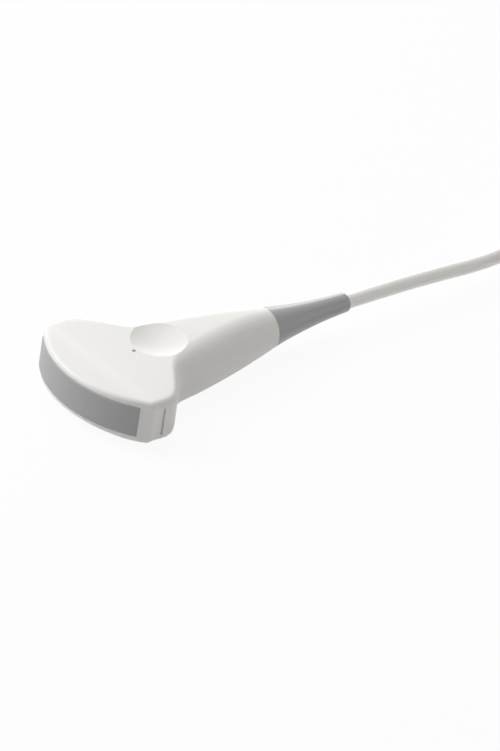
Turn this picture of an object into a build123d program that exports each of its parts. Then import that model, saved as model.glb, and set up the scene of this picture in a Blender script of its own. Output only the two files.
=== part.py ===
"""Curved-array ultrasound probe with its cable, put-away coil and system connector.

The probe lies on its grip along X, with the lens towards -X and the cable towards +X.
Stations along the probe are measured from the centre of the lens's arc.
"""

import math
import os

from build123d import *

# Probe, overall
overall_length = 142.0
lens_radius = 50.0
relief_length = 41.0
arc_x = lens_radius - overall_length / 2
tail_u = overall_length - lens_radius - relief_length
front_u = -lens_radius

# Housing form
head_half_width = 34.4
head_half_thickness = 9.3
head_edge_radius = 3.0
nose_draw = 0.8
nose_draw_length = 10.0
nose_from_front = 16.0
shoulder_from_front = 23.5
shoulder_length = 20.0
swell_from_front = 18.0
grip_from_front = 55.0
neck_from_front = 42.0
nose_u = front_u + nose_from_front
shoulder_u = front_u + shoulder_from_front
swell_u = front_u + swell_from_front
grip_u = front_u + grip_from_front
neck_u = front_u + neck_from_front
neck_half_width = 18.6
grip_half_thickness = 12.4
grip_flat = 2.0
tail_radius = 8.5
tail_flat = 0.1
width_taper = 1.25
thickness_taper = 2.8
wall = 1.8
front_wall = 3.0
tail_wall = 3.0
nose_edge_round = 2.0
axis_z = grip_half_thickness
overshoot = 2.5
shoulder_steps = 6
grip_steps = 6
cavity_shoulder_steps = 4
cavity_end_run = 6.0

# Thumb dimple, orientation dot and bracket slots
dimple_start_from_front = 33.4
dimple_end_from_front = 53.2
dimple_front_u = front_u + dimple_start_from_front
dimple_back_u = front_u + dimple_end_from_front
dimple_depth = 2.0
dimple_edge_round = 0.7
dot_from_front = 31.6
dot_u = front_u + dot_from_front
dot_radius = 0.7
dot_depth = 0.9
slot_from_front = 20.0
slot_u = front_u + slot_from_front
slot_length = 12.4
slot_width = 1.3
slot_depth = 1.1

# Lens and acoustic stack
lens_end_margin = 3.962
lens_edge_margin = 2.6
lens_half_angle = math.degrees(math.asin((head_half_width - lens_end_margin) / lens_radius))
lens_height = 2 * (head_half_thickness - lens_edge_margin)
lens_proud = 0.4
lens_skin = 1.4
lens_skirt = 0.8
lens_flange = 1.1
lens_flange_step = 0.7
lens_edge_round = 0.6
layer_gap = 0.05
fit_gap = 0.1
matching_thickness = 0.3
piezo_thickness = 0.5
stack_angle_inset = 0.9
stack_half_angle = lens_half_angle - stack_angle_inset
backing_from_front = 21.0
backing_back_u = front_u + backing_from_front
backing_back_inset = 10.4
backing_back_half_width = head_half_width - backing_back_inset
flex_thickness = 0.2
flex_side_room = 6.0
flex_overrun = 2.65

# Cable
cable_diameter = 6.1
cable_radius = cable_diameter / 2
bore_radius = cable_radius + fit_gap

# Carrier, boards and cable anchor
carrier_thickness = 2.4
carrier_ear = 5.0
carrier_side_room = 1.6
seat_gap = 0.25
board_thickness = 1.6
board_side_room = 5.1
board_half_width = neck_half_width - board_side_room
board_end_from_tail = 41.0
board_end_u = tail_u - board_end_from_tail
board_inner_z = 3.0
flex_socket_length = 8.0
flex_socket_gap = 0.8
flex_socket_side_room = 2.0
flex_tail_half_width = board_half_width - flex_socket_side_room
spacer_radius = 1.5
spacer_side_inset = 2.5
spacer_end_inset = 2.2
rib_from_board_end = 4.0
rib_u = board_end_u - rib_from_board_end
rib_thickness = 2.0
rib_half_width = 8.0
rib_sink = 0.9
fanout_half_width = 8.0
fanout_overlap = 8.0
fanout_start_u = board_end_u - fanout_overlap
root_from_tail = 17.0
root_u = tail_u - root_from_tail
root_overlap = 16.0
root_end_u = tail_u + root_overlap
ferrule_from_root = 2.0
ferrule_start_u = root_u + ferrule_from_root
ferrule_length = 9.0
ferrule_wall = 0.5
ferrule_outer = cable_radius + layer_gap + ferrule_wall
clamp_from_ferrule = 0.5
clamp_start_u = ferrule_start_u + clamp_from_ferrule
clamp_length = 8.0
clamp_wall = 2.0
clamp_half = ferrule_outer + clamp_wall
clamp_pad_half = 3.6

# Strain relief
relief_flange_inset = 2.1
relief_flange_radius = tail_radius - relief_flange_inset
relief_flange = 2.4
relief_neck_inset = 3.1
relief_neck_radius = tail_radius - relief_neck_inset
relief_mid_from_tail = 17.0
relief_mid_u = tail_u + relief_mid_from_tail
relief_mid_radius = 5.8
relief_tip_wall = 0.8
relief_tip_radius = bore_radius + relief_tip_wall
relief_tip_round = 0.6

# Coil and tie
arc_share = 0.45
floor_gap = 0.1
coil_mid_radius = 31.0
coil_columns = 3
coil_layers = 4
coil_x = 208.0
coil_y = -6.0
tie_width = 9.0
tie_thickness = 0.8
tie_angle = 250.0

# System connector
connector_x = 310.0
connector_y = 9.0
connector_length = 60.0
connector_width = 48.0
connector_height = 28.0
connector_wall = 2.0
connector_split_z = 15.0
connector_corner = 6.0
connector_edge_chamfer = 1.4
insert_margin = 8.0
insert_length = connector_length - 2 * insert_margin
insert_width = connector_width - 2 * insert_margin
insert_depth = 4.0
insert_face_z = 2.2
base_plate = 2.0
pad_size = 1.4
pad_depth = 0.5
pad_columns = 10
pad_rows = 6
pad_end_margin = 3.3
pad_side_margin = 4.8
pad_pitch_x = (insert_length - 2 * pad_end_margin - pad_size) / (pad_columns - 1)
pad_pitch_y = (insert_width - 2 * pad_side_margin - pad_size) / (pad_rows - 1)
connector_board_thickness = 1.6
connector_board_inset = 3.0
standoff_height = 1.4
standoff_half = 1.8
standoff_inset = 9.0
boot_length = 24.0
boot_tip_wall = 1.05
boot_neck_wall = 1.45
boot_step = 1.6
boot_flange_step = 1.4
boot_tip_radius = bore_radius + boot_tip_wall
boot_neck_radius = bore_radius + boot_neck_wall
boot_radius = boot_neck_radius + boot_step
boot_flange_radius = boot_neck_radius + boot_flange_step
boot_flange = 2.0
cable_end_reach = 9.0
screw_radius = 1.2
screw_head_radius = 2.1
screw_head_depth = 1.4
screw_sink = 0.8
screw_inset = 5.0
screw_bite = 5.0
screw_boss_half = 2.6

# Lock on the connector
shaft_radius = 3.0
running_gap = 0.05
shaft_room = 0.6
cam_well_radius = 7.0
cam_side_room = 1.5
cam_length = 2 * (cam_well_radius - cam_side_room)
cam_width = 3.0
cam_thickness = 2.0
cam_bottom_z = 0.8
bushing_wall = 1.6
bushing_radius = shaft_radius + bushing_wall
bushing_flange_step = 1.8
bushing_flange_radius = bushing_radius + bushing_flange_step
bushing_flange = 1.0
bushing_length = 6.0
knob_radius = 13.0
knob_thickness = 4.0
knob_round = 1.0
knob_grip_width = 6.0
knob_grip_height = 5.0
knob_gap = 0.4
knob_socket = 5.0
clip_thickness = 1.0
clip_width = 2.0
clip_radius = shaft_radius + clip_width


def ease(t):
    """Smooth step from 0 to 1."""
    t = min(max(t, 0.0), 1.0)
    return t * t * (3 - 2 * t)


def section_at(u):
    """Half width, half thickness and corner radius of the housing at station u."""
    along = max(u - neck_u, 0.0) / (tail_u - neck_u)
    half_width = neck_half_width - (neck_half_width - tail_radius) * along**width_taper
    half_width += (head_half_width - neck_half_width) * (1 - ease((u - shoulder_u) / shoulder_length))
    half_width -= nose_draw * ease((nose_u - u) / nose_draw_length)
    swell = ease((u - swell_u) / (grip_u - swell_u))
    beyond = max(u - grip_u, 0.0) / (tail_u - grip_u)
    half_thickness = head_half_thickness + (grip_half_thickness - head_half_thickness) * swell
    half_thickness -= (grip_half_thickness - tail_radius) * beyond**thickness_taper
    grip_corner = half_thickness - grip_flat + (grip_flat - tail_flat) * beyond
    corner = head_edge_radius + (grip_corner - head_edge_radius) * swell
    return half_width, half_thickness, corner


def section_plane(u):
    """Plane across the probe at station u, with its first axis along Y."""
    return Plane(origin=(arc_x + u, 0, axis_z), x_dir=(0, 1, 0), z_dir=(1, 0, 0))


def finish(builder, name):
    """Label one finished piece and write it."""
    builder.part.label = name
    export_step(builder.part, f"parts/{name}.step")
    return builder.part


def ring_sector(inner, outer, low, high, half_angle):
    """Revolve a rectangle about the lens's arc axis, centred on the -X side."""
    sector_plane = Plane(
        origin=(arc_x, 0, axis_z),
        x_dir=(-math.cos(math.radians(half_angle)), -math.sin(math.radians(half_angle)), 0),
        z_dir=(-math.sin(math.radians(half_angle)), math.cos(math.radians(half_angle)), 0),
    )
    with BuildPart() as sector:
        with BuildSketch(sector_plane):
            with BuildLine():
                Polyline((inner, low), (outer, low), (outer, high), (inner, high), close=True)
            make_face()
        revolve(axis=arc_axis, revolution_arc=2 * half_angle)
    return sector


def block(low, high):
    """Add a block between two corners given as station, y and height over the axis."""
    with Locations((arc_x + (low[0] + high[0]) / 2, (low[1] + high[1]) / 2, axis_z + (low[2] + high[2]) / 2)):
        Box(high[0] - low[0], high[1] - low[1], high[2] - low[2])


def seat_ribs(side):
    """Ribs of one shell that hold the board and the cable clamp; side is 1 for the upper shell."""
    for start, length, half, seat in (
        (rib_u, rib_thickness, rib_half_width, board_inner_z + board_thickness + fit_gap),
        (clamp_start_u + fit_gap, clamp_length - 2 * fit_gap, clamp_pad_half, clamp_half + fit_gap),
    ):
        reach = section_at(start + length)[1] - wall + rib_sink
        low, high = sorted((side * seat, side * reach))
        block((start, -half, low), (start + length, half, high))


def route_radii(route):
    """Largest arc at each corner: a share of the shorter run over the tangent of half the turn."""
    points = [Vector(*point) for point in route]
    runs = [after - before for before, after in zip(points, points[1:])]
    radii = []
    for before, after in zip(runs, runs[1:]):
        half_turn = math.radians(before.get_angle(after)) / 2
        radii.append(arc_share * min(before.length, after.length) / math.tan(half_turn))
    return radii


def connector_plane(height):
    """Plane at a height, centred on the connector."""
    return Plane(origin=(*connector_mid, height))


arc_axis = Axis((arc_x, 0, axis_z), (0, 0, -1))
os.makedirs("parts", exist_ok=True)

# Housing: one blended form, hollowed, then split at the middle plane into two moulded shells
front_radius = lens_radius - lens_proud
outer_stations = [front_u - overshoot, nose_u - nose_draw_length, nose_u]
outer_stations += [shoulder_u + shoulder_length * k / shoulder_steps for k in range(shoulder_steps + 1)]
outer_stations += [grip_u + (tail_u - grip_u) * k / grip_steps for k in range(grip_steps + 1)]

with BuildPart() as housing_form:
    for station in outer_stations:
        width, thickness, corner = section_at(station)
        with BuildSketch(section_plane(station)):
            RectangleRounded(2 * width, 2 * thickness, corner)
    loft()
    with BuildSketch(Plane.XY):
        with Locations((arc_x, 0)):
            Circle(front_radius)
        with Locations((arc_x + tail_u / 2, 0)):
            Rectangle(tail_u, 2 * head_half_width)
    extrude(amount=2 * axis_z, both=True, mode=Mode.INTERSECT)
    nose_face = housing_form.faces().filter_by(GeomType.CYLINDER).sort_by(Axis.X)[0]
    fillet(nose_face.edges(), nose_edge_round)

# Thumb dimple: a ball whose circle on the top runs between the two named stations, turned so that
# its poles and seam stay clear of the dimple
seam_aside = (90, 0, 0)
dimple_front = Vector(dimple_front_u, 0, section_at(dimple_front_u)[1])
dimple_back = Vector(dimple_back_u, 0, section_at(dimple_back_u)[1])
dimple_chord = dimple_back - dimple_front
dimple_radius = (dimple_chord.length**2 / 4 + dimple_depth**2) / (2 * dimple_depth)
dimple_normal = Vector(0, -1, 0).cross(dimple_chord.normalized())
dimple_centre = (
    (dimple_front + dimple_back) * 0.5
    + dimple_normal * (dimple_radius - dimple_depth)
    + Vector(arc_x, 0, axis_z)
)

# Cavity, lens window, tail opening and bracket slots, all cut from the one form
cavity_end_u = tail_u - tail_wall
cavity_step = shoulder_length / cavity_shoulder_steps
cavity_stations = [front_u - overshoot, nose_u]
cavity_stations += [shoulder_u + cavity_step * k for k in range(cavity_shoulder_steps + 1)]
cavity_stations += [grip_u, (grip_u + tail_u) / 2, cavity_end_u - cavity_end_run, cavity_end_u]

with BuildPart() as cavity:
    for station in cavity_stations:
        width, thickness, corner = section_at(station)
        with BuildSketch(section_plane(station)):
            RectangleRounded(2 * (width - wall), 2 * (thickness - wall), max(corner - wall, wall / 2))
    loft(ruled=True)
    with Locations(dimple_centre):
        Sphere(dimple_radius + wall, rotation=seam_aside, mode=Mode.SUBTRACT)
    with BuildSketch(Plane.XY):
        with Locations((arc_x, 0)):
            Circle(front_radius - front_wall)
        with Locations((arc_x + tail_u / 2, 0)):
            Rectangle(tail_u, 2 * head_half_width)
    extrude(amount=2 * axis_z, both=True, mode=Mode.INTERSECT)

window = ring_sector(
    front_radius - 2 * front_wall, lens_radius + overshoot, -lens_height / 2, lens_height / 2, lens_half_angle
)

with BuildPart() as housing:
    add(housing_form.part)
    add(cavity.part, mode=Mode.SUBTRACT)
    add(window.part, mode=Mode.SUBTRACT)
    with BuildSketch(section_plane(tail_u)):
        Circle(relief_neck_radius + fit_gap)
    extrude(amount=-2 * tail_wall, mode=Mode.SUBTRACT)
    for side in (-1, 1):
        slot_plane = Plane(
            origin=(arc_x + slot_u, side * (head_half_width - slot_depth), axis_z),
            x_dir=(0, 0, 1),
            z_dir=(0, side, 0),
        )
        with BuildSketch(slot_plane):
            SlotOverall(slot_length, slot_width)
        extrude(amount=2 * slot_depth, mode=Mode.SUBTRACT)

# Upper shell with the thumb dimple and the seat of the orientation dot
dot_top_z = axis_z + section_at(dot_u)[1]

with BuildPart() as upper_shell:
    add(housing.part)
    split(bisect_by=Plane.XY.offset(axis_z), keep=Keep.TOP)
    with Locations(dimple_centre):
        Sphere(dimple_radius, rotation=seam_aside, mode=Mode.SUBTRACT)
    dimple_face = upper_shell.faces().filter_by(GeomType.SPHERE)
    fillet(dimple_face.edges(), dimple_edge_round)
    seat_ribs(1)
    with Locations((arc_x + dot_u, 0, dot_top_z)):
        Cylinder(dot_radius + layer_gap, 2 * dot_depth, mode=Mode.SUBTRACT)
finish(upper_shell, "upper_shell")

with BuildPart() as lower_shell:
    add(housing.part)
    split(bisect_by=Plane.XY.offset(axis_z), keep=Keep.BOTTOM)
    seat_ribs(-1)
finish(lower_shell, "lower_shell")

with BuildPart() as orientation_dot:
    with BuildSketch(Plane.XY.offset(dot_top_z - dot_depth)):
        with Locations((arc_x + dot_u, 0)):
            Circle(dot_radius)
    extrude(amount=dot_depth)
finish(orientation_dot, "orientation_dot")

# Lens: a skin over the array with skirts and a flange behind the front wall
lens_half = lens_height / 2 - layer_gap
lens_inner_half = lens_half - lens_skirt
lens_skin_radius = lens_radius - lens_skin
flange_front = front_radius - front_wall - fit_gap
flange_back = flange_front - lens_flange
flange_half = lens_half + lens_flange_step
lens_angle = lens_half_angle - math.degrees(layer_gap / lens_radius)
lens_plane = Plane(
    origin=(arc_x, 0, axis_z),
    x_dir=(-math.cos(math.radians(lens_angle)), -math.sin(math.radians(lens_angle)), 0),
    z_dir=(-math.sin(math.radians(lens_angle)), math.cos(math.radians(lens_angle)), 0),
)
upper_profile = [
    (lens_radius, lens_half),
    (flange_front, lens_half),
    (flange_front, flange_half),
    (flange_back, flange_half),
    (flange_back, lens_inner_half),
    (lens_skin_radius, lens_inner_half),
]
lower_profile = [(radius, -height) for radius, height in reversed(upper_profile)]

with BuildPart() as acoustic_lens:
    with BuildSketch(lens_plane) as lens_profile:
        with BuildLine():
            Polyline(*upper_profile, *lower_profile, close=True)
        make_face()
        fillet(lens_profile.vertices().group_by(Axis.X)[-1], lens_edge_round)
    revolve(axis=arc_axis, revolution_arc=2 * lens_angle)
finish(acoustic_lens, "acoustic_lens")

# Acoustic stack behind the lens, from the outside in
stack_half = lens_inner_half - fit_gap
stack_outer = lens_skin_radius - layer_gap
for layer_name, layer_thickness in (
    ("outer_matching_layer", matching_thickness),
    ("inner_matching_layer", matching_thickness),
    ("piezo_array", piezo_thickness),
):
    layer = ring_sector(stack_outer - layer_thickness, stack_outer, -stack_half, stack_half, stack_half_angle)
    finish(layer, layer_name)
    stack_outer -= layer_thickness + layer_gap

mid_plane = Plane(origin=(arc_x, 0, axis_z))
stack_edge = Vector(-stack_outer, 0).rotate(Axis.Z, -stack_half_angle)
with BuildPart() as backing_block:
    with BuildSketch(mid_plane):
        with BuildLine():
            ThreePointArc((stack_edge.X, -stack_edge.Y), (-stack_outer, 0), (stack_edge.X, stack_edge.Y))
            Polyline(
                (stack_edge.X, stack_edge.Y),
                (backing_back_u, backing_back_half_width),
                (backing_back_u, -backing_back_half_width),
                (stack_edge.X, -stack_edge.Y),
            )
        make_face()
    extrude(amount=stack_half, both=True)
finish(backing_block, "backing_block")

# Carrier behind the backing, with ears up to both shells
carrier_front_u = backing_back_u + layer_gap
carrier_back_u = carrier_front_u + carrier_thickness
carrier_half_height = stack_half
carrier_reach = section_at(carrier_front_u)[0] - wall - carrier_side_room
carrier_half_width = carrier_reach - carrier_ear
ear_half_height = section_at(carrier_front_u)[1] - wall - seat_gap
with BuildPart() as array_carrier:
    block(
        (carrier_front_u, -carrier_half_width, -carrier_half_height),
        (carrier_back_u, carrier_half_width, carrier_half_height),
    )
    for side in (-1, 1):
        near, far = sorted((side * carrier_half_width, side * carrier_reach))
        block((carrier_front_u, near, -ear_half_height), (carrier_back_u, far, ear_half_height))
finish(array_carrier, "array_carrier")

# Flexible circuits along both faces of the backing, back to the boards
flex_low = stack_half + fit_gap
flex_radius = flange_back - fit_gap
flex_half_width = carrier_half_width - flex_side_room
board_start_u = carrier_back_u + fit_gap
socket_start_u = board_start_u + flex_socket_gap
flex_end_u = socket_start_u + flex_socket_length + flex_overrun
for flex_name, flex_start in (
    ("flex_circuit_upper", flex_low),
    ("flex_circuit_lower", -flex_low - flex_thickness),
):
    with BuildPart() as flex_circuit:
        with BuildSketch(mid_plane.offset(flex_start)):
            Circle(flex_radius)
            with Locations(((front_u + carrier_back_u) / 2, 0)):
                Rectangle(carrier_back_u - front_u, 2 * flex_half_width, mode=Mode.INTERSECT)
            with Locations(((carrier_back_u + flex_end_u) / 2, 0)):
                Rectangle(flex_end_u - carrier_back_u, 2 * flex_tail_half_width)
        extrude(amount=flex_thickness)
    finish(flex_circuit, flex_name)

# Boards behind the carrier, spaced apart, with a socket for each flexible circuit
board_outer_z = board_inner_z + board_thickness
for board_name, board_low in (
    ("interconnect_board_upper", board_inner_z),
    ("interconnect_board_lower", -board_outer_z),
):
    with BuildPart() as board:
        block(
            (board_start_u, -board_half_width, board_low),
            (board_end_u, board_half_width, board_low + board_thickness),
        )
    finish(board, board_name)

with BuildPart() as flex_sockets:
    for low, high in ((board_outer_z, flex_low), (-flex_low, -board_outer_z)):
        block(
            (socket_start_u, -flex_tail_half_width, low),
            (socket_start_u + flex_socket_length, flex_tail_half_width, high),
        )
finish(flex_sockets, "flex_sockets")

spacer_y = board_half_width - spacer_side_inset
with BuildPart() as board_spacers:
    for spacer_u in (board_start_u + spacer_end_inset, board_end_u - spacer_end_inset):
        for side in (-1, 1):
            with BuildSketch(mid_plane.offset(-board_inner_z)):
                with Locations((spacer_u, side * spacer_y)):
                    RegularPolygon(spacer_radius, 6)
            extrude(amount=2 * board_inner_z)
finish(board_spacers, "board_spacers")

# Cable end inside the housing: fan-out of fine coaxial wires, jacket, ferrule and clamp
with BuildPart() as coax_fanout:
    with BuildSketch(section_plane(fanout_start_u)):
        RectangleRounded(2 * fanout_half_width, 2 * (board_inner_z - fit_gap), board_inner_z / 2)
    with BuildSketch(section_plane(root_u)):
        Circle(cable_radius - ferrule_wall)
    loft()
finish(coax_fanout, "coax_fanout")

with BuildPart() as cable_root:
    with BuildSketch(section_plane(root_u)):
        Circle(cable_radius)
    extrude(amount=root_end_u - root_u)
finish(cable_root, "cable_root")

with BuildPart() as crimp_ferrule:
    with BuildSketch(section_plane(ferrule_start_u)):
        Circle(ferrule_outer)
        Circle(cable_radius + layer_gap, mode=Mode.SUBTRACT)
    extrude(amount=ferrule_length)
finish(crimp_ferrule, "crimp_ferrule")

for clamp_name, low, high in (
    ("cable_clamp_upper", layer_gap, clamp_half),
    ("cable_clamp_lower", -clamp_half, -layer_gap),
):
    with BuildPart() as cable_clamp:
        block((clamp_start_u, -clamp_half, low), (clamp_start_u + clamp_length, clamp_half, high))
        with BuildSketch(section_plane(clamp_start_u)):
            Circle(ferrule_outer + layer_gap)
        extrude(amount=clamp_length, mode=Mode.SUBTRACT)
    finish(cable_clamp, clamp_name)

# Strain relief: one revolved boot with a neck and flange held in the tail
relief_tip_u = tail_u + relief_length
seat_u = tail_u - tail_wall - fit_gap
relief_face_u = tail_u + layer_gap
axis_plane = Plane(origin=(arc_x, 0, axis_z), x_dir=(1, 0, 0), z_dir=(0, -1, 0))
with BuildPart() as strain_relief:
    with BuildSketch(axis_plane) as relief_profile:
        with BuildLine():
            ThreePointArc(
                (relief_face_u, tail_radius), (relief_mid_u, relief_mid_radius), (relief_tip_u, relief_tip_radius)
            )
            Polyline(
                (relief_tip_u, relief_tip_radius),
                (relief_tip_u, bore_radius),
                (seat_u - relief_flange, bore_radius),
                (seat_u - relief_flange, relief_flange_radius),
                (seat_u, relief_flange_radius),
                (seat_u, relief_neck_radius),
                (relief_face_u, relief_neck_radius),
                (relief_face_u, tail_radius),
            )
        make_face()
        fillet(relief_profile.vertices().group_by(Axis.X)[-1].sort_by(Axis.Y)[-1], relief_tip_round)
    revolve(axis=Axis((arc_x, 0, axis_z), (1, 0, 0)))
finish(strain_relief, "strain_relief")

# Cable from the strain relief to the coil, and from the coil to the connector
coil_bottom = floor_gap + tie_thickness + floor_gap
coil_height = coil_layers * cable_diameter
lead_route = [
    (arc_x + root_end_u, 0.0, axis_z),
    (79.0, 0.0, axis_z),
    (113.0, 0.0, 11.6),
    (143.0, 0.0, 9.4),
    (165.4, 6.7, 5.4),
    (184.15, 22.4, coil_bottom + cable_radius),
]
tail_route = [
    (226.55, 26.1, coil_bottom + coil_height - cable_radius),
    (249.0, 13.1, 18.8),
    (274.0, connector_y, connector_split_z),
    (297.0, connector_y, connector_split_z),
]

for cord_name, route in (("cable", lead_route), ("cable_tail", tail_route)):
    radii = route_radii(route)
    with BuildPart() as cord:
        with BuildLine():
            path = FilletPolyline(*route, radius=radii)
        with BuildSketch(Plane(origin=route[0], z_dir=path % 0)):
            Circle(cable_radius)
        sweep()
    finish(cord, cord_name)
    tube_volume = math.pi * cable_radius**2 * path.length
    print(cord_name, "radii", [round(radius, 1) for radius in radii], "length", round(path.length, 1))
    print(cord_name, "volume over section times length", round(cord.part.volume / tube_volume, 4))

coil_half_width = coil_columns * cable_diameter / 2
with BuildPart() as cable_coil:
    with BuildSketch(Plane(origin=(coil_x, coil_y, coil_bottom), x_dir=(1, 0, 0), z_dir=(0, -1, 0))):
        with Locations((coil_mid_radius, coil_height / 2)):
            Rectangle(2 * coil_half_width, coil_height)
    revolve(axis=Axis((coil_x, coil_y, 0), (0, 0, 1)))
finish(cable_coil, "cable_coil")

tie_side_room = tie_width**2 / (8 * (coil_mid_radius - coil_half_width)) + floor_gap
tie_direction = Vector(1, 0, 0).rotate(Axis.Z, tie_angle)
tie_centre = Vector(coil_x, coil_y, coil_bottom + coil_height / 2) + tie_direction * coil_mid_radius
tie_plane = Plane(origin=tie_centre, x_dir=tie_direction, z_dir=tie_direction.cross(Vector(0, 0, 1)))
with BuildPart() as coil_tie:
    with BuildSketch(tie_plane):
        tie_inner = (2 * (coil_half_width + tie_side_room), coil_height + 2 * floor_gap)
        Rectangle(tie_inner[0] + 2 * tie_thickness, tie_inner[1] + 2 * tie_thickness)
        Rectangle(*tie_inner, mode=Mode.SUBTRACT)
    extrude(amount=tie_width / 2, both=True)
finish(coil_tie, "coil_tie")

# Connector: base with a shroud round the contacts, and a cover that meets it at the boot's axis
connector_mid = (connector_x + connector_length / 2, connector_y)
plate_low = insert_face_z + insert_depth
plate_high = plate_low + base_plate
inner_length = connector_length - 2 * connector_wall
inner_width = connector_width - 2 * connector_wall
inner_corner = connector_corner - connector_wall
screw_x = connector_length / 2 - screw_inset
screw_y = connector_width / 2 - screw_inset
standoff_x = connector_length / 2 - standoff_inset
standoff_y = connector_width / 2 - standoff_inset
boss_top_z = connector_split_z + screw_bite + screw_radius
boot_plane = Plane(
    origin=(connector_x, connector_y, connector_split_z), x_dir=(0, 1, 0), z_dir=(1, 0, 0)
)

with BuildPart() as connector_base:
    with BuildSketch(connector_plane(floor_gap)):
        RectangleRounded(connector_length, connector_width, connector_corner)
    extrude(amount=connector_split_z - floor_gap)
    with BuildSketch(connector_plane(floor_gap)):
        Rectangle(insert_length + 2 * fit_gap, insert_width + 2 * fit_gap)
    extrude(amount=plate_low - floor_gap, mode=Mode.SUBTRACT)
    with BuildSketch(connector_plane(plate_high)):
        RectangleRounded(inner_length, inner_width, inner_corner)
    extrude(amount=connector_split_z - plate_high, mode=Mode.SUBTRACT)
    with BuildSketch(connector_plane(plate_high)):
        with GridLocations(2 * screw_x, 2 * screw_y, 2, 2):
            Rectangle(2 * screw_boss_half, 2 * screw_boss_half)
    extrude(amount=connector_split_z - plate_high)
    with BuildSketch(connector_plane(plate_high)):
        with GridLocations(2 * standoff_x, 2 * standoff_y, 2, 2):
            Rectangle(2 * standoff_half, 2 * standoff_half)
    extrude(amount=standoff_height)
    with BuildSketch(connector_plane(plate_low)):
        Circle(shaft_radius + shaft_room)
    extrude(amount=base_plate, mode=Mode.SUBTRACT)
    with BuildSketch(connector_plane(floor_gap)):
        with GridLocations(2 * screw_x, 2 * screw_y, 2, 2):
            Circle(screw_radius + running_gap)
    extrude(amount=connector_split_z - floor_gap, mode=Mode.SUBTRACT)
    with BuildSketch(connector_plane(floor_gap)):
        with GridLocations(2 * screw_x, 2 * screw_y, 2, 2):
            Circle(screw_head_radius + fit_gap)
    extrude(amount=screw_sink + screw_head_depth - floor_gap, mode=Mode.SUBTRACT)
    with BuildSketch(boot_plane):
        Circle(boot_neck_radius + fit_gap)
    extrude(amount=connector_wall, mode=Mode.SUBTRACT)
finish(connector_base, "connector_base")

with BuildPart() as connector_cover:
    with BuildSketch(connector_plane(connector_split_z)):
        RectangleRounded(connector_length, connector_width, connector_corner)
    extrude(amount=connector_height - connector_split_z)
    chamfer(connector_cover.faces().sort_by(Axis.Z)[-1].edges(), connector_edge_chamfer)
    with BuildSketch(connector_plane(connector_split_z)):
        RectangleRounded(inner_length, inner_width, inner_corner)
    extrude(amount=connector_height - connector_wall - connector_split_z, mode=Mode.SUBTRACT)
    with BuildSketch(connector_plane(connector_split_z)):
        with GridLocations(2 * screw_x, 2 * screw_y, 2, 2):
            Rectangle(2 * screw_boss_half, 2 * screw_boss_half)
    extrude(amount=connector_height - connector_wall - connector_split_z)
    with BuildSketch(connector_plane(connector_split_z)):
        with GridLocations(2 * screw_x, 2 * screw_y, 2, 2):
            Circle(screw_radius + running_gap)
    extrude(amount=boss_top_z - connector_split_z, mode=Mode.SUBTRACT)
    with BuildSketch(connector_plane(connector_height)):
        Circle(bushing_radius + running_gap)
    extrude(amount=-2 * connector_wall, mode=Mode.SUBTRACT)
    with BuildSketch(boot_plane):
        Circle(boot_neck_radius + fit_gap)
    extrude(amount=connector_wall, mode=Mode.SUBTRACT)
finish(connector_cover, "connector_cover")

screw_seat_z = screw_sink + screw_head_depth
with BuildPart() as cover_screws:
    with BuildSketch(connector_plane(screw_sink)):
        with GridLocations(2 * screw_x, 2 * screw_y, 2, 2):
            Circle(screw_head_radius)
    extrude(amount=screw_head_depth)
    with BuildSketch(connector_plane(screw_seat_z)):
        with GridLocations(2 * screw_x, 2 * screw_y, 2, 2):
            Circle(screw_radius)
    extrude(amount=connector_split_z + screw_bite - screw_seat_z)
finish(cover_screws, "cover_screws")

with BuildPart() as contact_insert:
    with BuildSketch(connector_plane(insert_face_z)):
        Rectangle(insert_length, insert_width)
        Circle(cam_well_radius, mode=Mode.SUBTRACT)
    extrude(amount=insert_depth)
finish(contact_insert, "contact_insert")

with BuildPart() as contact_pads:
    with BuildSketch(connector_plane(insert_face_z - pad_depth)):
        with GridLocations(pad_pitch_x, pad_pitch_y, pad_columns, pad_rows) as pad_grid:
            pad_spots = [spot.position for spot in pad_grid.local_locations]
        clear_of_well = cam_well_radius + pad_size
        with Locations(*[spot for spot in pad_spots if spot.length > clear_of_well]):
            Rectangle(pad_size, pad_size)
    extrude(amount=pad_depth)
finish(contact_pads, "contact_pads")

board_low_z = plate_high + standoff_height
with BuildPart() as connector_board:
    with BuildSketch(connector_plane(board_low_z)):
        Rectangle(inner_length - 2 * connector_board_inset, inner_width - 2 * connector_board_inset)
        with GridLocations(2 * screw_x, 2 * screw_y, 2, 2):
            boss_room = 2 * (screw_boss_half + seat_gap)
            Rectangle(boss_room, boss_room, mode=Mode.SUBTRACT)
        Circle(clip_radius + shaft_room, mode=Mode.SUBTRACT)
    extrude(amount=connector_board_thickness)
finish(connector_board, "connector_board")

# Connector boot, held in the wall by its neck and flange, with the cable's end inside
boot_axis_plane = Plane(
    origin=(connector_x, connector_y, connector_split_z), x_dir=(1, 0, 0), z_dir=(0, -1, 0)
)
boot_seat = connector_wall + fit_gap
with BuildPart() as connector_boot:
    with BuildSketch(boot_axis_plane):
        with BuildLine():
            Polyline(
                (-boot_length, bore_radius),
                (-boot_length, boot_tip_radius),
                (-layer_gap, boot_radius),
                (-layer_gap, boot_neck_radius),
                (boot_seat, boot_neck_radius),
                (boot_seat, boot_flange_radius),
                (boot_seat + boot_flange, boot_flange_radius),
                (boot_seat + boot_flange, bore_radius),
                close=True,
            )
        make_face()
    revolve(axis=Axis((connector_x, connector_y, connector_split_z), (1, 0, 0)))
finish(connector_boot, "connector_boot")

with BuildPart() as connector_cable_end:
    with BuildSketch(boot_plane.offset(tail_route[-1][0] - connector_x)):
        Circle(cable_radius)
    extrude(amount=connector_x + cable_end_reach - tail_route[-1][0])
finish(connector_cable_end, "connector_cable_end")

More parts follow.
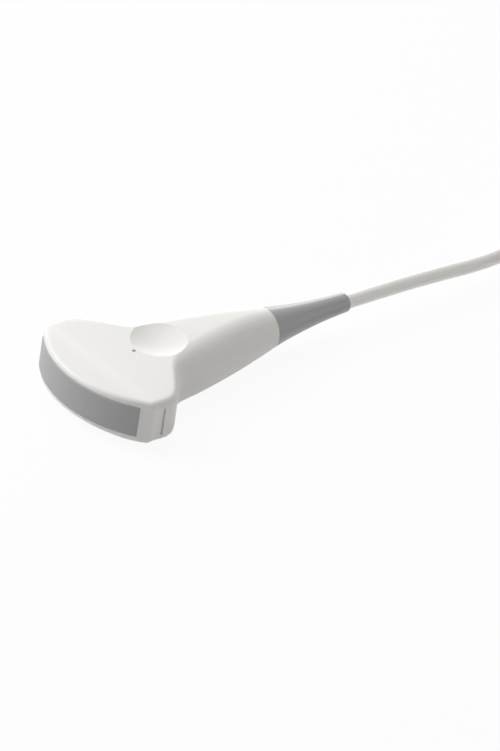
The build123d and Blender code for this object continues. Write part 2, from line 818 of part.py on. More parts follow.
# Lock: bushing in the cover, and a shaft that carries the knob, the clip and the cam
bushing_top_z = connector_height + bushing_flange
bushing_low_z = bushing_top_z - bushing_length
knob_low_z = bushing_top_z + knob_gap
with BuildPart() as lock_bushing:
    with BuildSketch(connector_plane(bushing_low_z)):
        Circle(bushing_radius)
    extrude(amount=bushing_length)
    with BuildSketch(connector_plane(connector_height)):
        Circle(bushing_flange_radius)
    extrude(amount=bushing_flange)
    with BuildSketch(connector_plane(bushing_low_z)):
        Circle(shaft_radius + running_gap)
    extrude(amount=bushing_length, mode=Mode.SUBTRACT)
finish(lock_bushing, "lock_bushing")

with BuildPart() as lock_shaft:
    with BuildSketch(connector_plane(cam_bottom_z)):
        Rectangle(cam_length, cam_width)
    extrude(amount=cam_thickness)
    with BuildSketch(connector_plane(cam_bottom_z)):
        Circle(shaft_radius)
    extrude(amount=knob_low_z + knob_socket - cam_bottom_z)
finish(lock_shaft, "lock_shaft")

with BuildPart() as lock_knob:
    with BuildSketch(connector_plane(knob_low_z)):
        Circle(knob_radius)
    extrude(amount=knob_thickness)
    with BuildSketch(connector_plane(knob_low_z + knob_thickness)):
        SlotOverall(2 * (knob_radius - knob_round), knob_grip_width)
    extrude(amount=knob_grip_height)
    chamfer(lock_knob.faces().sort_by(Axis.Z)[-1].edges(), knob_round)
    with BuildSketch(connector_plane(knob_low_z)):
        Circle(shaft_radius + running_gap)
    extrude(amount=knob_socket + fit_gap, mode=Mode.SUBTRACT)
finish(lock_knob, "lock_knob")

with BuildPart() as lock_clip:
    with BuildSketch(connector_plane(bushing_low_z - fit_gap - clip_thickness)):
        Circle(clip_radius)
        Circle(shaft_radius + running_gap, mode=Mode.SUBTRACT)
    extrude(amount=clip_thickness)
finish(lock_clip, "lock_clip")
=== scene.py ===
"""Finishes, thumb dimple, cable, strap and studio of a curved-array ultrasound probe.

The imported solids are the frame. Lengths are metres in that frame: the probe lies along X,
with its lens towards -X, and the cable leaves towards +X.
"""

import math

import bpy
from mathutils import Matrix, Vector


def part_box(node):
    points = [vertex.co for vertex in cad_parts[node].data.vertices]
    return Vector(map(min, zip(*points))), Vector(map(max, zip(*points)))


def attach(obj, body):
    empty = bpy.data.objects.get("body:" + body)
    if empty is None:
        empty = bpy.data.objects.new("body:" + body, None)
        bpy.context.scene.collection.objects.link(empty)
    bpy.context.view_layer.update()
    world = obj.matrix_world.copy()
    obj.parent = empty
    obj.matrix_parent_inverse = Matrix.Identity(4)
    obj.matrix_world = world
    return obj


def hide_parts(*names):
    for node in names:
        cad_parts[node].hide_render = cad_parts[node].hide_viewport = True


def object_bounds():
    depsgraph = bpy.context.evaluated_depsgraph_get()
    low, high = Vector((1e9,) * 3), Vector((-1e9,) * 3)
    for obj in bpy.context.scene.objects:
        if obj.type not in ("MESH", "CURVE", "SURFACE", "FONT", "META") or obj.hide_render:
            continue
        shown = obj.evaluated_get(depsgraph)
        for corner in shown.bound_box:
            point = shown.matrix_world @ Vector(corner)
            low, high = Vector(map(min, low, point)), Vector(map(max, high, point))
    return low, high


bl_info = {
    "name": "Ultrasound Probe Looks",
    "version": (1, 0, 0),
    "blender": (4, 5, 0),
    "location": "View3D > Sidebar > Probe",
    "description": "Dresses the packed probe with its finishes, cable, strap and studio",
    "category": "Object",
}

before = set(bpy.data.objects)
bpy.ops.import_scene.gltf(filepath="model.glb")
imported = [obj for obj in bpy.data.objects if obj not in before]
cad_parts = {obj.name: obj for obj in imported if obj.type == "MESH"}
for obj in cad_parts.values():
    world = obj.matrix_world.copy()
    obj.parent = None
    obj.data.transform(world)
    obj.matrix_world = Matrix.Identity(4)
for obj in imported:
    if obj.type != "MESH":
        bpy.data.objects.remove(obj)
cad_low, cad_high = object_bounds()

MM = 0.001
LENS_RADIUS = 50 * MM
LENS_LOW, LENS_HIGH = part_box("acoustic_lens")
ARC_CENTRE = Vector((LENS_LOW.x + LENS_RADIUS, 0, (LENS_LOW.z + LENS_HIGH.z) / 2))


def linear(hex_colour):
    """Linear RGB of an sRGB hex colour."""
    parts = [int(hex_colour[i:i + 2], 16) / 255 for i in (1, 3, 5)]
    return tuple(c / 12.92 if c <= 0.04045 else ((c + 0.055) / 1.055) ** 2.4 for c in parts)


def hue(name, hex_colour, what):
    """Colour property with its default written as sRGB hex."""
    return bpy.props.FloatVectorProperty(
        name=name, description=what, subtype="COLOR", size=3, min=0.0, max=1.0, default=linear(hex_colour)
    )


def length(name, metres, what):
    """Length property."""
    return bpy.props.FloatProperty(
        name=name, description=what, unit="LENGTH", subtype="DISTANCE", precision=5, default=metres
    )


def angle(name, degrees, what):
    """Angle property."""
    return bpy.props.FloatProperty(
        name=name, description=what, unit="ROTATION", subtype="ANGLE", default=math.radians(degrees)
    )


def share(name, part, what):
    """Property that is a part of a whole."""
    return bpy.props.FloatProperty(
        name=name, description=what, subtype="FACTOR", min=0.0, max=1.0, default=part
    )


class ProbeFinishes(bpy.types.PropertyGroup):
    """Colours of the probe, its cable and its connector."""

    housing: hue("Housing", "#EEECE8", "Off-white of the moulded housing")
    lens: hue("Lens", "#AEAEAF", "Grey of the silicone lens")
    marker: hue("Marker", "#808184", "Grey of the orientation dot")
    relief: hue("Strain relief", "#A9A8A9", "Grey of the moulded strain relief")
    jacket: hue("Jacket", "#F6F4EF", "Off-white of the cable jacket")
    connector: hue("Connector", "#DEDDD9", "Off-white of the connector case")
    knob: hue("Knob", "#8E9094", "Grey of the lock knob")
    strap: hue("Strap", "#3A3C40", "Dark grey of the woven strap")


class ProbeDimple(bpy.types.PropertyGroup):
    """Thumb dimple on the upper shell."""

    front: length("Front", -17.4 * MM, "Front of the rim, from the lens arc's centre")
    back: length("Back", 5.3 * MM, "Back of the rim, from the lens arc's centre")
    depth: length("Depth", 2.3 * MM, "Depth under the line from front to back")


class ProbeStrap(bpy.types.PropertyGroup):
    """Strap that ties the coil."""

    at: angle("At", 250, "Where round the coil the strap sits")
    ring_radius: length("Ring radius", 31 * MM, "Middle of the turns that the strap holds")
    across: length("Across", 20.2 * MM, "Middle of the webbing, across the turns")
    tall: length("Tall", 25.4 * MM, "Middle of the webbing, bottom to top")
    width: length("Width", 9 * MM, "Width of the webbing")
    thickness: length("Thickness", 0.8 * MM, "Thickness of the webbing")
    corner: length("Corner", 2.6 * MM, "Bend of the webbing at the coil's corners")
    rib: length("Rib", 0.9 * MM, "Spacing of the woven ribs, drawn coarse enough to show")


class ProbeCable(bpy.types.PropertyGroup):
    """Sizes of the cable and its coil."""

    diameter: length("Diameter", 6.1 * MM, "Outer diameter of the jacket")
    coil_x: length("Coil X", 208 * MM, "Middle of the coil along the probe")
    coil_y: length("Coil Y", -6 * MM, "Middle of the coil across the probe")
    coil_radius: length("Coil radius", 37.1 * MM, "Centre line of the outermost turn")
    coil_floor: length("Coil floor", 1 * MM, "Lowest point of the coil's jacket")
    enter: angle("Enters at", 130, "Where the lead joins the coil's outermost turn")
    layer_turn: angle("Turn of a layer", 670, "How far each flat layer winds in or out")
    rise_turn: angle("Turn of a rise", 90, "How far the cable winds while it climbs to the next layer")
    layers: bpy.props.IntProperty(name="Layers", description="Flat layers of the coil", default=4)


class ProbeStudio(bpy.types.PropertyGroup):
    """Camera, lamps and floor."""

    azimuth: angle("Azimuth", -43.9, "Direction of the camera round the probe")
    elevation: angle("Elevation", 31.4, "Height of the camera over the horizon")
    roll: angle("Roll", 8.3, "Turn of the camera about its own axis")
    distance: length("Distance", 8.0, "From the camera to the middle of the picture")
    frame_height: length("Frame height", 295.7 * MM, "What the picture's long side covers there")
    aim_right: length("Aim right", 32.8 * MM, "Middle of the picture, right of the lens arc's centre")
    aim_up: length("Aim up", -5.8 * MM, "Middle of the picture, above the lens arc's centre")
    floor: hue("Floor", "#F4F4F4", "Pale floor")
    floor_size: length("Floor size", 60.0, "Side of the square floor")
    floor_white: share("Floor white", 0.93, "Plain white part of the seen floor; the rest holds the shadow")
    ambient: share("Ambient", 0.2, "Strength of the light from all round, as a share of white")


def node(tree, kind, sockets=None, **settings):
    """Add one node with its settings, and its sockets' values or links."""
    made = tree.nodes.new(kind)
    for name, value in settings.items():
        setattr(made, name, value)
    for name, value in (sockets or {}).items():
        if isinstance(value, bpy.types.NodeSocket):
            tree.links.new(value, made.inputs[name])
        else:
            made.inputs[name].default_value = value
    return made


CLOUD_SIZE = 24 * MM
GLOSS_SWING = 0.05


def finish(name, colour, roughness, grain_mm, grain_depth_mm, ior=1.5, metallic=0.0, drift=0.03):
    """Material with a moulded, cast or turned grain, and a slight drift of tone and gloss."""
    # Where the real grain is finer, it is drawn as coarse as it needs to show
    made = bpy.data.materials.new(name)
    made.use_nodes = True
    tree = made.node_tree
    tree.nodes.clear()
    place = node(tree, "ShaderNodeTexCoord")
    grain = node(
        tree,
        "ShaderNodeTexNoise",
        {"Vector": place.outputs["Object"], "Scale": 1 / (grain_mm * MM), "Detail": 3.0, "Roughness": 0.6},
    )
    cloud = node(
        tree,
        "ShaderNodeTexNoise",
        {"Vector": place.outputs["Object"], "Scale": 1 / CLOUD_SIZE, "Detail": 2.0},
    )
    darker = tuple(c * (1 - drift) for c in colour)
    shade = node(tree, "ShaderNodeValToRGB", {"Fac": cloud.outputs["Fac"]})
    shade.color_ramp.elements[0].color = (*darker, 1)
    shade.color_ramp.elements[1].color = (*colour, 1)
    gloss = node(
        tree,
        "ShaderNodeMapRange",
        {
            "Value": grain.outputs["Fac"],
            "To Min": roughness - GLOSS_SWING,
            "To Max": roughness + GLOSS_SWING,
        },
    )
    bump = node(
        tree,
        "ShaderNodeBump",
        {"Height": grain.outputs["Fac"], "Strength": 1.0, "Distance": grain_depth_mm * MM},
    )
    shader = node(
        tree,
        "ShaderNodeBsdfPrincipled",
        {
            "Base Color": shade.outputs["Color"],
            "Roughness": gloss.outputs["Result"],
            "Normal": bump.outputs["Normal"],
            "Metallic": metallic,
            "IOR": ior,
        },
    )
    node(tree, "ShaderNodeOutputMaterial", {"Surface": shader.outputs["BSDF"]})
    return made


def dress(material, *names):
    """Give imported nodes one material."""
    for name in names:
        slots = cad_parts[name].data.materials
        slots.clear()
        slots.append(material)


def choose(context, mesh, kind, wanted):
    """Select only the vertices, edges or faces that a test picks, and enter edit mode with them."""
    kinds = ("vertices", "edges", "polygons")
    context.tool_settings.mesh_select_mode = [kind == name for name in kinds]
    for name in kinds:
        for item in getattr(mesh, name):
            item.select = name == kind and wanted(item)
    bpy.ops.object.mode_set(mode="EDIT")


def take(context, piece):
    """Make one object the only selected and active one."""
    bpy.ops.object.select_all(action="DESELECT")
    piece.select_set(True)
    context.view_layer.objects.active = piece


MERGE_GAP = 0.001 * MM
BALL_FACETS = 160
SHELL_CREASE = math.radians(14)


def top_of_shell(x):
    """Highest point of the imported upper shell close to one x."""
    near = 1.5 * MM
    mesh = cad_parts["upper_shell"].data
    return max(v.co.z for v in mesh.vertices if abs(v.co.x - x) < near)


def thumb_shell(context, material):
    """Copy the upper shell and press the thumb dimple to its full size with a ball."""
    dimple = context.scene.probe_dimple
    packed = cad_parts["upper_shell"]
    shell = bpy.data.objects.new("thumb_shell", packed.data.copy())
    context.scene.collection.objects.link(shell)
    take(context, shell)
    bpy.ops.object.mode_set(mode="EDIT")
    bpy.ops.mesh.select_all(action="SELECT")
    bpy.ops.mesh.remove_doubles(threshold=MERGE_GAP)
    bpy.ops.mesh.customdata_custom_splitnormals_clear()
    bpy.ops.object.mode_set(mode="OBJECT")
    rim = [ARC_CENTRE.x + u for u in (dimple.front, dimple.back)]
    ends = [Vector((x, 0, top_of_shell(x))) for x in rim]
    chord = ends[1] - ends[0]
    radius = (chord.length_squared / 4 + dimple.depth**2) / (2 * dimple.depth)
    over = Vector((0, -1, 0)).cross(chord).normalized()
    bpy.ops.object.select_all(action="DESELECT")
    bpy.ops.mesh.primitive_uv_sphere_add(
        segments=BALL_FACETS,
        ring_count=BALL_FACETS,
        radius=radius,
        location=(ends[0] + ends[1]) / 2 + over * (radius - dimple.depth),
        rotation=(math.pi / 2, 0, 0),
    )
    ball = context.object
    take(context, shell)
    press = shell.modifiers.new("Thumb dimple", "BOOLEAN")
    press.operation = "DIFFERENCE"
    press.solver = "EXACT"
    press.object = ball
    bpy.ops.object.modifier_apply(modifier=press.name)
    bpy.data.objects.remove(ball, do_unlink=True)
    take(context, shell)
    bpy.ops.object.shade_smooth_by_angle(angle=SHELL_CREASE)
    shell.data.materials.clear()
    shell.data.materials.append(material)
    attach(shell, "root")
    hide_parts("upper_shell")


class PROBE_OT_housing(bpy.types.Operator):
    """Finish the two moulded shells and the orientation dot, and press the thumb dimple"""

    bl_idname = "probe.housing"
    bl_label = "Housing"

    def execute(self, context):
        colours = context.scene.probe_finishes
        # ABS from a spark-eroded mould: satin, with a soft broad highlight
        shell = finish(
            "Moulded ABS", colours.housing,
            roughness=0.46, ior=1.53, grain_mm=0.5, grain_depth_mm=0.004, drift=0.015,
        )
        dress(shell, "upper_shell", "lower_shell")
        thumb_shell(context, shell)
        # Pad-printed ink on a small plug: flat grey with no shine
        ink = finish(
            "Pad printed ink", colours.marker, roughness=0.6, ior=1.5, grain_mm=0.3, grain_depth_mm=0.004
        )
        dress(ink, "orientation_dot")
        return {"FINISHED"}


class PROBE_OT_lens(bpy.types.Operator):
    """Finish the silicone lens"""

    bl_idname = "probe.lens"
    bl_label = "Lens"

    def execute(self, context):
        colours = context.scene.probe_finishes
        # Silicone cast against a polished mould: smooth, with a dull broad gloss
        silicone = finish(
            "Cast silicone rubber", colours.lens,
            roughness=0.52, ior=1.41, grain_mm=0.4, grain_depth_mm=0.003,
        )
        dress(silicone, "acoustic_lens")
        return {"FINISHED"}


class PROBE_OT_relief(bpy.types.Operator):
    """Finish the strain relief and the connector's boot"""

    bl_idname = "probe.relief"
    bl_label = "Strain relief"

    def execute(self, context):
        colours = context.scene.probe_finishes
        # Moulded elastomer: smooth, with a waxy light streak along its top
        soft = finish(
            "Thermoplastic elastomer", colours.relief,
            roughness=0.32, ior=1.5, grain_mm=0.45, grain_depth_mm=0.003,
        )
        dress(soft, "strain_relief", "connector_boot")
        return {"FINISHED"}


# Control points of the cable before and after its coil, in millimetres
LEAD_ROUTE = [
    (46.0, 0.0, 12.4),
    (79.0, 0.0, 12.4),
    (113.0, 0.0, 11.6),
    (143.0, 0.0, 9.4),
    (165.4, 6.7, 5.4),
]
TAIL_ROUTE = [
    (249.0, 13.1, 18.8),
    (274.0, 9.0, 15.0),
    (297.0, 9.0, 15.0),
]
POINTS_PER_TURN = 18


def coil_points(cable):
    """Control points of the coil: flat layers that wind in and out by turns, with a climb between them."""
    swing = cable.layers * cable.layer_turn + (cable.layers - 1) * cable.rise_turn
    count = round(swing / (2 * math.pi) * POINTS_PER_TURN)
    step = swing / count
    # The spline runs inside its control points by this share, so they stand further out
    shrink = math.cos(step / 2)
    pitch = cable.diameter / (2 * math.pi)
    points = []
    for k in range(count + 1):
        turned = k * step
        layer = min(int(turned / (cable.layer_turn + cable.rise_turn)), cable.layers - 1)
        within = turned - layer * (cable.layer_turn + cable.rise_turn)
        wound = min(within, cable.layer_turn)
        climbed = max(within - cable.layer_turn, 0) / cable.rise_turn
        inward = wound if layer % 2 == 0 else cable.layer_turn - wound
        radius = (cable.coil_radius - pitch * inward) / shrink
        # The climb starts and ends level
        lift = layer + climbed * climbed * (3 - 2 * climbed)
        at = cable.enter - turned
        points.append((
            cable.coil_x + radius * math.cos(at),
            cable.coil_y + radius * math.sin(at),
            cable.coil_floor + cable.diameter * (0.5 + lift),
        ))
    return points


class PROBE_OT_cable(bpy.types.Operator):
    """Lay the cable along its route, wind its spare length and finish its ends"""

    bl_idname = "probe.cable"
    bl_label = "Cable"

    def execute(self, context):
        cable = context.scene.probe_cable
        colours = context.scene.probe_finishes
        # PVC drawn through a smooth die: satin, with a narrow highlight along its length
        jacket = finish(
            "Extruded PVC jacket", colours.jacket,
            roughness=0.34, ior=1.54, grain_mm=0.5, grain_depth_mm=0.003, drift=0.02,
        )
        dress(jacket, "cable_root", "connector_cable_end")
        lead = [tuple(c * MM for c in point) for point in LEAD_ROUTE]
        tail = [tuple(c * MM for c in point) for point in TAIL_ROUTE]
        points = lead + coil_points(cable) + tail
        bpy.ops.object.select_all(action="DESELECT")
        bpy.ops.curve.primitive_nurbs_path_add(radius=1.0, location=(0, 0, 0))
        cord = context.object
        cord.name = "probe_cable"
        line = cord.data
        line.splines.clear()
        spline = line.splines.new("NURBS")
        spline.points.add(len(points) - 1)
        for control, place in zip(spline.points, points):
            control.co = (*place, 1.0)
        spline.order_u = 3
        spline.use_endpoint_u = True
        spline.resolution_u = 6
        line.dimensions = "3D"
        line.twist_mode = "MINIMUM"
        line.bevel_depth = cable.diameter / 2
        line.bevel_resolution = 6
        line.use_fill_caps = True
        line.materials.append(jacket)
        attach(cord, "root")
        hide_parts("cable", "cable_coil", "cable_tail")
        return {"FINISHED"}


RIB_DEPTH = 0.15 * MM
# Share of the webbing's colour left in the gaps between the ribs: painted shade
RIB_GAP_PAINTED_SHADE = 0.55


def webbing(strap, colour, middle):
    """Woven nylon webbing: dull fibres with ribs that cross over and under, and painted shade that darkens
    the colour between them.
    """
    made = bpy.data.materials.new("Woven nylon webbing")
    made.use_nodes = True
    tree = made.node_tree
    tree.nodes.clear()
    place = node(tree, "ShaderNodeTexCoord")
    local = node(
        tree,
        "ShaderNodeMapping",
        {"Vector": place.outputs["Object"], "Location": middle, "Rotation": (0, 0, strap.at)},
        vector_type="TEXTURE",
    )
    axes = node(tree, "ShaderNodeSeparateXYZ", {"Vector": local.outputs["Vector"]})
    # On every side of the loop either X or Z stands still, so their sum runs along the webbing
    run = node(tree, "ShaderNodeMath", {0: axes.outputs["X"], 1: axes.outputs["Z"]}, operation="ADD")
    ribs = []
    for across in (run.outputs[0], axes.outputs["Y"]):
        turns = node(tree, "ShaderNodeMath", {0: across, 1: 2 * math.pi / strap.rib}, operation="MULTIPLY")
        ribs.append(node(tree, "ShaderNodeMath", {0: turns.outputs[0]}, operation="SINE").outputs[0])
    weave = node(tree, "ShaderNodeMath", {0: ribs[0], 1: ribs[1]}, operation="MULTIPLY")
    shade = node(tree, "ShaderNodeMapRange", {"Value": weave.outputs[0], "From Min": -1.0})
    # Painted shade: between the ribs the colour is darkened, where the weave lies in shade
    between = tuple(c * RIB_GAP_PAINTED_SHADE for c in colour)
    tone = node(
        tree,
        "ShaderNodeMix",
        {"Factor": shade.outputs["Result"], "A": (*between, 1), "B": (*colour, 1)},
        data_type="RGBA",
    )
    bump = node(
        tree, "ShaderNodeBump", {"Height": shade.outputs["Result"], "Strength": 1.0, "Distance": RIB_DEPTH}
    )
    shader = node(
        tree,
        "ShaderNodeBsdfPrincipled",
        {
            "Base Color": tone.outputs["Result"],
            "Normal": bump.outputs["Normal"],
            "Roughness": 0.85,
            "IOR": 1.53,
            "Sheen Weight": 0.4,
        },
    )
    node(tree, "ShaderNodeOutputMaterial", {"Surface": shader.outputs["BSDF"]})
    return made


# Where the strap's free end starts and stops, as shares of the loop's size across the turns
LAP_START = -0.28
LAP_END = 0.3
# How far its corners are rounded, as a share of the webbing's width
LAP_ROUND = 0.4
# Share of the webbing's thickness that is drawn, so that the free end lies just clear of the loop
DRAWN_THICKNESS = 0.96
BEND_SEGMENTS = 6
FACES_SIDEWAYS = 0.9
SELVEDGE = 0.22 * MM
SELVEDGE_EDGE = math.radians(50)
STRAP_CREASE = math.radians(35)


class PROBE_OT_strap(bpy.types.Operator):
    """Wrap the coil with its woven strap"""

    bl_idname = "probe.strap"
    bl_label = "Strap"

    def execute(self, context):
        cable = context.scene.probe_cable
        strap = context.scene.probe_strap
        away = Vector((math.cos(strap.at), math.sin(strap.at), 0))
        middle = Vector((cable.coil_x, cable.coil_y, 0)) + away * strap.ring_radius
        middle.z = sum(p.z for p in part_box("coil_tie")) / 2
        bpy.ops.object.select_all(action="DESELECT")
        bpy.ops.mesh.primitive_cube_add(size=1.0, location=(0, 0, 0))
        loop = context.object
        loop.name = "coil_strap"
        loop.scale = (strap.across, strap.width, strap.tall)
        bpy.ops.object.transform_apply(location=False, rotation=False, scale=True)
        mesh = loop.data
        choose(context, mesh, "polygons", lambda face: abs(face.normal.y) > FACES_SIDEWAYS)
        bpy.ops.mesh.delete(type="ONLY_FACE")
        bpy.ops.object.mode_set(mode="OBJECT")
        ends = mesh.vertices
        choose(
            context, mesh, "edges",
            lambda edge: abs(ends[edge.vertices[0]].co.y - ends[edge.vertices[1]].co.y) > MM,
        )
        bpy.ops.mesh.bevel(offset=strap.corner, segments=BEND_SEGMENTS)
        bpy.ops.object.mode_set(mode="OBJECT")
        # The free end of the webbing lies pressed on the loop's top, past its middle
        lap_start = LAP_START * strap.across
        lap_end = LAP_END * strap.across
        bpy.ops.object.select_all(action="DESELECT")
        bpy.ops.mesh.primitive_plane_add(size=1.0, location=(0, 0, 0))
        lap = context.object
        lap.scale = (lap_end - lap_start, strap.width, 1)
        lap.location = ((lap_start + lap_end) / 2, 0, strap.tall / 2 + strap.thickness)
        bpy.ops.object.transform_apply(location=True, rotation=False, scale=True)
        choose(context, lap.data, "vertices", lambda corner: corner.co.x > 0)
        bpy.ops.mesh.bevel(offset=LAP_ROUND * strap.width, segments=BEND_SEGMENTS, affect="VERTICES")
        bpy.ops.object.mode_set(mode="OBJECT")
        take(context, loop)
        lap.select_set(True)
        bpy.ops.object.join()
        thick = loop.modifiers.new("Webbing", "SOLIDIFY")
        thick.thickness = strap.thickness * DRAWN_THICKNESS
        thick.offset = 0.0
        bpy.ops.object.modifier_apply(modifier=thick.name)
        soft = loop.modifiers.new("Selvedge", "BEVEL")
        soft.width = SELVEDGE
        soft.segments = 2
        soft.limit_method = "ANGLE"
        soft.angle_limit = SELVEDGE_EDGE
        bpy.ops.object.modifier_apply(modifier=soft.name)
        bpy.ops.object.shade_smooth_by_angle(angle=STRAP_CREASE)
        loop.location = middle
        loop.rotation_euler = (0, 0, strap.at)
        bpy.ops.object.transform_apply(location=True, rotation=True, scale=False)
        mesh.materials.append(webbing(strap, context.scene.probe_finishes.strap, middle))
        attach(loop, "root")
        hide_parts("coil_tie")
        return {"FINISHED"}


class PROBE_OT_connector(bpy.types.Operator):
    """Finish the connector's case, contacts, screws and lock"""

    bl_idname = "probe.connector"
    bl_label = "Connector"

    def execute(self, context):
        colours = context.scene.probe_finishes
        # Polycarbonate blend from a textured mould: fine satin, a little glossier than the housing
        case = finish(
            "Moulded polycarbonate blend", colours.connector,
            roughness=0.42, ior=1.57, grain_mm=0.5, grain_depth_mm=0.006, drift=0.015,
        )
        dress(case, "connector_base", "connector_cover")
        # Glass-filled nylon: dull, with a coarser grain where fibres reach the surface
        knob = finish(
            "Glass filled nylon", colours.knob, roughness=0.5, ior=1.53, grain_mm=0.6, grain_depth_mm=0.01
        )
        dress(knob, "lock_knob")
        # Plain moulded nylon: dark and dull round the contacts
        insert = finish(
            "Moulded nylon", linear("#303135"), roughness=0.55, ior=1.53, grain_mm=0.5, grain_depth_mm=0.005
        )
        dress(insert, "contact_insert")
        # Gold plating on rolled contacts: warm, with a clear bright reflection
        gold = finish(
            "Gold plated contact", linear("#E3BE6B"),
            roughness=0.24, grain_mm=0.4, grain_depth_mm=0.001, metallic=1.0, drift=0.05,
        )
        dress(gold, "contact_pads")
        # Turned stainless steel: cool grey, with a soft metal gloss
        steel = finish(
            "Turned stainless steel", linear("#C3C5C9"),
            roughness=0.3, grain_mm=0.3, grain_depth_mm=0.002, metallic=1.0,
        )
        dress(steel, "cover_screws", "lock_shaft", "lock_clip")
        # Turned brass: warm yellow, with a soft metal gloss
        brass = finish(
            "Turned brass", linear("#CFA75B"),
            roughness=0.3, grain_mm=0.3, grain_depth_mm=0.002, metallic=1.0,
        )
        dress(brass, "lock_bushing", "board_spacers", "crimp_ferrule")
        return {"FINISHED"}


class PROBE_OT_inside(bpy.types.Operator):
    """Finish what the housing and the connector hold inside"""

    bl_idname = "probe.inside"
    bl_label = "Inside"

    def execute(self, context):
        # Cast epoxy with a mineral filler: dull grey-brown
        filled = finish(
            "Filled epoxy", linear("#5C574F"), roughness=0.5, ior=1.55, grain_mm=0.3, grain_depth_mm=0.004
        )
        dress(filled, "outer_matching_layer", "inner_matching_layer")
        # Ceramic ground flat: pale sandy yellow, dull
        ceramic = finish(
            "Ground ceramic", linear("#B5A67E"), roughness=0.5, ior=1.6, grain_mm=0.2, grain_depth_mm=0.002
        )
        dress(ceramic, "piezo_array")
        # Epoxy cast full of metal powder: nearly black, rough and grainy
        loaded = finish(
            "Tungsten loaded epoxy", linear("#2A2A2C"),
            roughness=0.65, ior=1.55, grain_mm=0.5, grain_depth_mm=0.01,
        )
        dress(loaded, "backing_block")
        # Milled aluminium: light grey metal with a half-dull gloss
        aluminium = finish(
            "Milled aluminium", linear("#C8CACD"),
            roughness=0.35, grain_mm=0.4, grain_depth_mm=0.004, metallic=1.0,
        )
        dress(aluminium, "array_carrier")
        # Rolled polyimide film: smooth amber with a clear gloss
        film = finish(
            "Polyimide film", linear("#B06A24"), roughness=0.3, ior=1.6, grain_mm=0.6, grain_depth_mm=0.002
        )
        dress(film, "flex_circuit_upper", "flex_circuit_lower")
        # Solder mask cured on a board: green, with a slightly uneven gloss
        mask = finish(
            "Solder mask", linear("#1F5A3A"), roughness=0.35, ior=1.55, grain_mm=0.6, grain_depth_mm=0.004
        )
        dress(mask, "interconnect_board_upper", "interconnect_board_lower", "connector_board")
        # Moulded liquid crystal polymer: black and dull
        polymer = finish(
            "Liquid crystal polymer", linear("#1E1E20"),
            roughness=0.5, ior=1.55, grain_mm=0.4, grain_depth_mm=0.004,
        )
        dress(polymer, "flex_sockets")
        # Bundle of fine coated wires: pale grey, with a lumpy surface
        wires = finish(
            "Bundled coaxial wires", linear("#B8B8BC"),
            roughness=0.5, ior=1.4, grain_mm=0.4, grain_depth_mm=0.1,
        )
        dress(wires, "coax_fanout")
        # Moulded nylon: dark grey and dull
        clamp = finish(
            "Moulded nylon clamp", linear("#45474A"),
            roughness=0.5, ior=1.53, grain_mm=0.5, grain_depth_mm=0.006,
        )
        dress(clamp, "cable_clamp_upper", "cable_clamp_lower")
        return {"FINISHED"}


def background_rays(tree):
    """Socket that is 1 for rays that show the background: camera, glossy and transmission rays."""
    rays = node(tree, "ShaderNodeLightPath")
    either = node(
        tree,
        "ShaderNodeMath",
        {0: rays.outputs["Is Camera Ray"], 1: rays.outputs["Is Glossy Ray"]},
        operation="MAXIMUM",
    )
    made = node(
        tree,
        "ShaderNodeMath",
        {0: either.outputs[0], 1: rays.outputs["Is Transmission Ray"]},
        operation="MAXIMUM",
    )
    return made.outputs[0]


FLOOR_GAP = 0.02 * MM
SENSOR_MM = 36.0
VIEW_END = 100.0
WHITE = (1, 1, 1, 1)
# Each lamp's name, place and width in metres, and watts; all of them face the frame's origin
LAMPS = (
    ("Key lamp", (-0.5, 0.71, 0.73), 0.6, 8.4),
    ("Top lamp", (0.15, 0.35, 1.2), 0.8, 4.6),
    ("Back lamp", (0.95, 1.2, 0.3), 0.8, 5.2),
    ("Fill lamp", (1.0, -1.1, 0.3), 0.8, 2.2),
)


def lamp(name, at, width, watts):
    """Square soft lamp at one point, turned to the frame's origin and unseen by the camera."""
    data = bpy.data.lights.new(name, "AREA")
    data.shape = "SQUARE"
    data.size = width
    data.energy = watts
    made = bpy.data.objects.new(name, data)
    made.location = at
    made.rotation_euler = (-Vector(at)).to_track_quat("-Z", "Y").to_euler()
    made.visible_camera = False
    bpy.context.scene.collection.objects.link(made)


def lay_floor(context, studio):
    """Matte paper that looks nearly white where it is seen and keeps the probe's shadow."""
    bpy.ops.object.select_all(action="DESELECT")
    bpy.ops.mesh.primitive_plane_add(size=studio.floor_size, location=(0, 0, cad_low.z - FLOOR_GAP))
    floor = context.object
    floor.name = "studio_floor"
    paper = bpy.data.materials.new("Matte paper sweep")
    paper.use_nodes = True
    tree = paper.node_tree
    tree.nodes.clear()
    matte = node(tree, "ShaderNodeBsdfDiffuse", {"Color": (*studio.floor, 1)})
    glow = node(tree, "ShaderNodeEmission", {"Color": WHITE, "Strength": 1.0})
    shown = node(
        tree, "ShaderNodeMixShader", {"Fac": studio.floor_white, 1: matte.outputs[0], 2: glow.outputs[0]}
    )
    chosen = node(
        tree,
        "ShaderNodeMixShader",
        {"Fac": background_rays(tree), 1: matte.outputs[0], 2: shown.outputs[0]},
    )
    node(tree, "ShaderNodeOutputMaterial", {"Surface": chosen.outputs[0]})
    floor.data.materials.append(paper)


def light_air(scene, studio):
    """Weak light from all round, and white where the background is seen."""
    world = bpy.data.worlds.new("Studio air")
    scene.world = world
    world.use_nodes = True
    tree = world.node_tree
    tree.nodes.clear()
    soft = node(tree, "ShaderNodeBackground", {"Color": WHITE, "Strength": studio.ambient})
    white = node(tree, "ShaderNodeBackground", {"Color": WHITE, "Strength": 1.0})
    chosen = node(
        tree, "ShaderNodeMixShader", {"Fac": background_rays(tree), 1: soft.outputs[0], 2: white.outputs[0]}
    )
    node(tree, "ShaderNodeOutputWorld", {"Surface": chosen.outputs[0]})


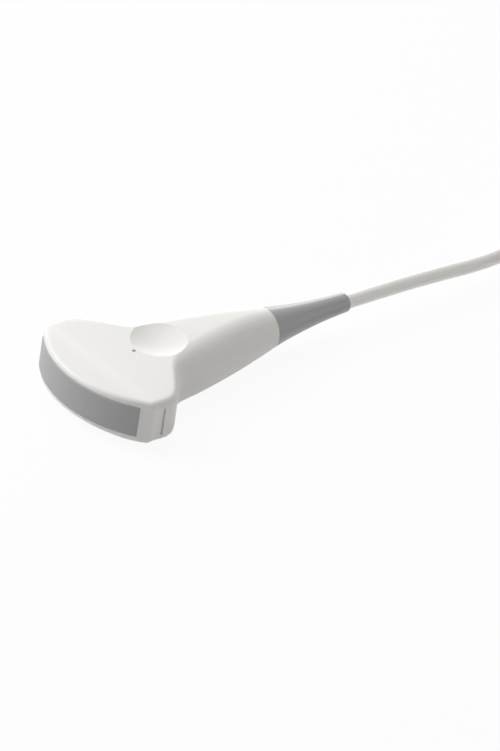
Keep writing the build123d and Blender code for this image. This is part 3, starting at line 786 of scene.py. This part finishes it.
def set_camera(scene, studio):
    """Long camera that looks down on the probe from the lens's side, turned about its own axis."""
    back = Vector((
        math.sin(studio.azimuth) * math.cos(studio.elevation),
        -math.cos(studio.azimuth) * math.cos(studio.elevation),
        math.sin(studio.elevation),
    ))
    right = Vector((0, 0, 1)).cross(back).normalized()
    up = back.cross(right)
    rolled_right = right * math.cos(studio.roll) + up * math.sin(studio.roll)
    rolled_up = up * math.cos(studio.roll) - right * math.sin(studio.roll)
    aim = ARC_CENTRE + rolled_right * studio.aim_right + rolled_up * studio.aim_up
    data = bpy.data.cameras.new("Camera")
    data.sensor_width = SENSOR_MM
    data.lens = SENSOR_MM * studio.distance / studio.frame_height
    data.clip_end = VIEW_END
    camera = bpy.data.objects.new("Camera", data)
    scene.collection.objects.link(camera)
    turn = Matrix((rolled_right, rolled_up, back)).transposed()
    camera.matrix_world = Matrix.Translation(aim + back * studio.distance) @ turn.to_4x4()
    scene.camera = camera


class PROBE_OT_stage(bpy.types.Operator):
    """Set the floor, the lamps, the pale background and the camera"""

    bl_idname = "probe.stage"
    bl_label = "Stage"

    def execute(self, context):
        scene = context.scene
        studio = scene.probe_studio
        scene.view_settings.view_transform = "Standard"
        lay_floor(context, studio)
        light_air(scene, studio)
        for name, at, width, watts in LAMPS:
            lamp(name, at, width, watts)
        set_camera(scene, studio)
        return {"FINISHED"}


STEPS = (
    PROBE_OT_housing,
    PROBE_OT_lens,
    PROBE_OT_relief,
    PROBE_OT_cable,
    PROBE_OT_strap,
    PROBE_OT_connector,
    PROBE_OT_inside,
    PROBE_OT_stage,
)


class PROBE_PT_panel(bpy.types.Panel):
    """Steps that dress the probe"""

    bl_idname = "PROBE_PT_panel"
    bl_label = "Ultrasound probe"
    bl_space_type = "VIEW_3D"
    bl_region_type = "UI"
    bl_category = "Probe"

    def draw(self, context):
        for step in STEPS:
            self.layout.operator(step.bl_idname)


GROUPS = {
    "probe_finishes": ProbeFinishes,
    "probe_dimple": ProbeDimple,
    "probe_strap": ProbeStrap,
    "probe_cable": ProbeCable,
    "probe_studio": ProbeStudio,
}


def register():
    """Add the groups, the operators and the panel."""
    for name, group in GROUPS.items():
        bpy.utils.register_class(group)
        setattr(bpy.types.Scene, name, bpy.props.PointerProperty(type=group))
    for made in (*STEPS, PROBE_PT_panel):
        bpy.utils.register_class(made)


def unregister():
    """Take them out again."""
    for made in reversed((*STEPS, PROBE_PT_panel)):
        bpy.utils.unregister_class(made)
    for name, group in reversed(GROUPS.items()):
        delattr(bpy.types.Scene, name)
        bpy.utils.unregister_class(group)


def main():
    register()
    for step in STEPS:
        group, name = step.bl_idname.split(".")
        getattr(getattr(bpy.ops, group), name)()


if __name__ == "__main__":
    main()
